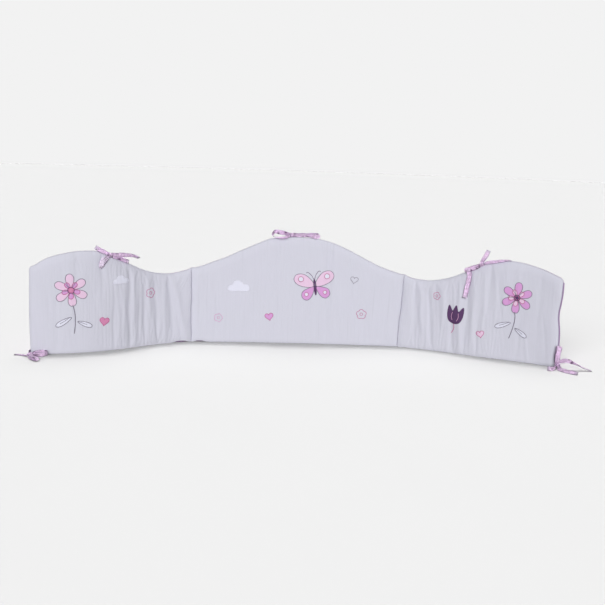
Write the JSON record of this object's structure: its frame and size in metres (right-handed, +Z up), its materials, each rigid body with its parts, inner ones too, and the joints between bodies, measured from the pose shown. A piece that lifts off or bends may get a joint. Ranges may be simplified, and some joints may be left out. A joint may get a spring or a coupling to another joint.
{
  "type": "crib bumper",
  "caption": "Padded fabric cot bumper with a scalloped top edge, angled side wings, a contrasting back cloth and cloth ties, standing on its lower edge in a shallow U.",
  "frame": {"origin": "on the floor under the middle of the centre panel, at the middle of its thickness", "axes": "+X along the centre panel to the right as seen from the front, +Z up, -Y towards the front, the sleeper's side"},
  "size_m": [1.536, 0.3307, 0.3288],
  "materials": {
    "front_cotton": "matt plain-weave cotton, pale lilac, with appliqué and embroidery",
    "back_cotton": "matt plain-weave cotton, orchid pink"
  },
  "bodies": {
    "root": {"panel_left": "front_cotton", "panel_centre": "front_cotton", "panel_right": "front_cotton", "back_cover": "back_cotton", "tie_centre_knot": "back_cotton", "tie_centre_loop_left": "back_cotton", "tie_centre_loop_right": "back_cotton", "tie_centre_end_long": "back_cotton", "tie_centre_end_short": "back_cotton", "tie_left_top_knot": "back_cotton", "tie_left_top_end_up": "back_cotton", "tie_left_top_end_arch": "back_cotton", "tie_left_top_end_low": "back_cotton", "tie_left_top_loop": "back_cotton", "tie_right_top_knot": "back_cotton", "tie_right_top_end_up": "back_cotton", "tie_right_top_end_over": "back_cotton", "tie_right_top_end_along": "back_cotton", "tie_left_foot_knot": "back_cotton", "tie_left_foot_loop_wall": "back_cotton", "tie_left_foot_loop_floor": "back_cotton", "tie_left_foot_end_floor": "back_cotton", "tie_left_foot_end_sewn": "back_cotton", "tie_right_foot_knot": "back_cotton", "tie_right_foot_loop_up": "back_cotton", "tie_right_foot_end_upper": "back_cotton", "tie_right_foot_end_lower": "back_cotton", "tie_right_foot_end_short": "back_cotton"}
  },
  "joints": []
}
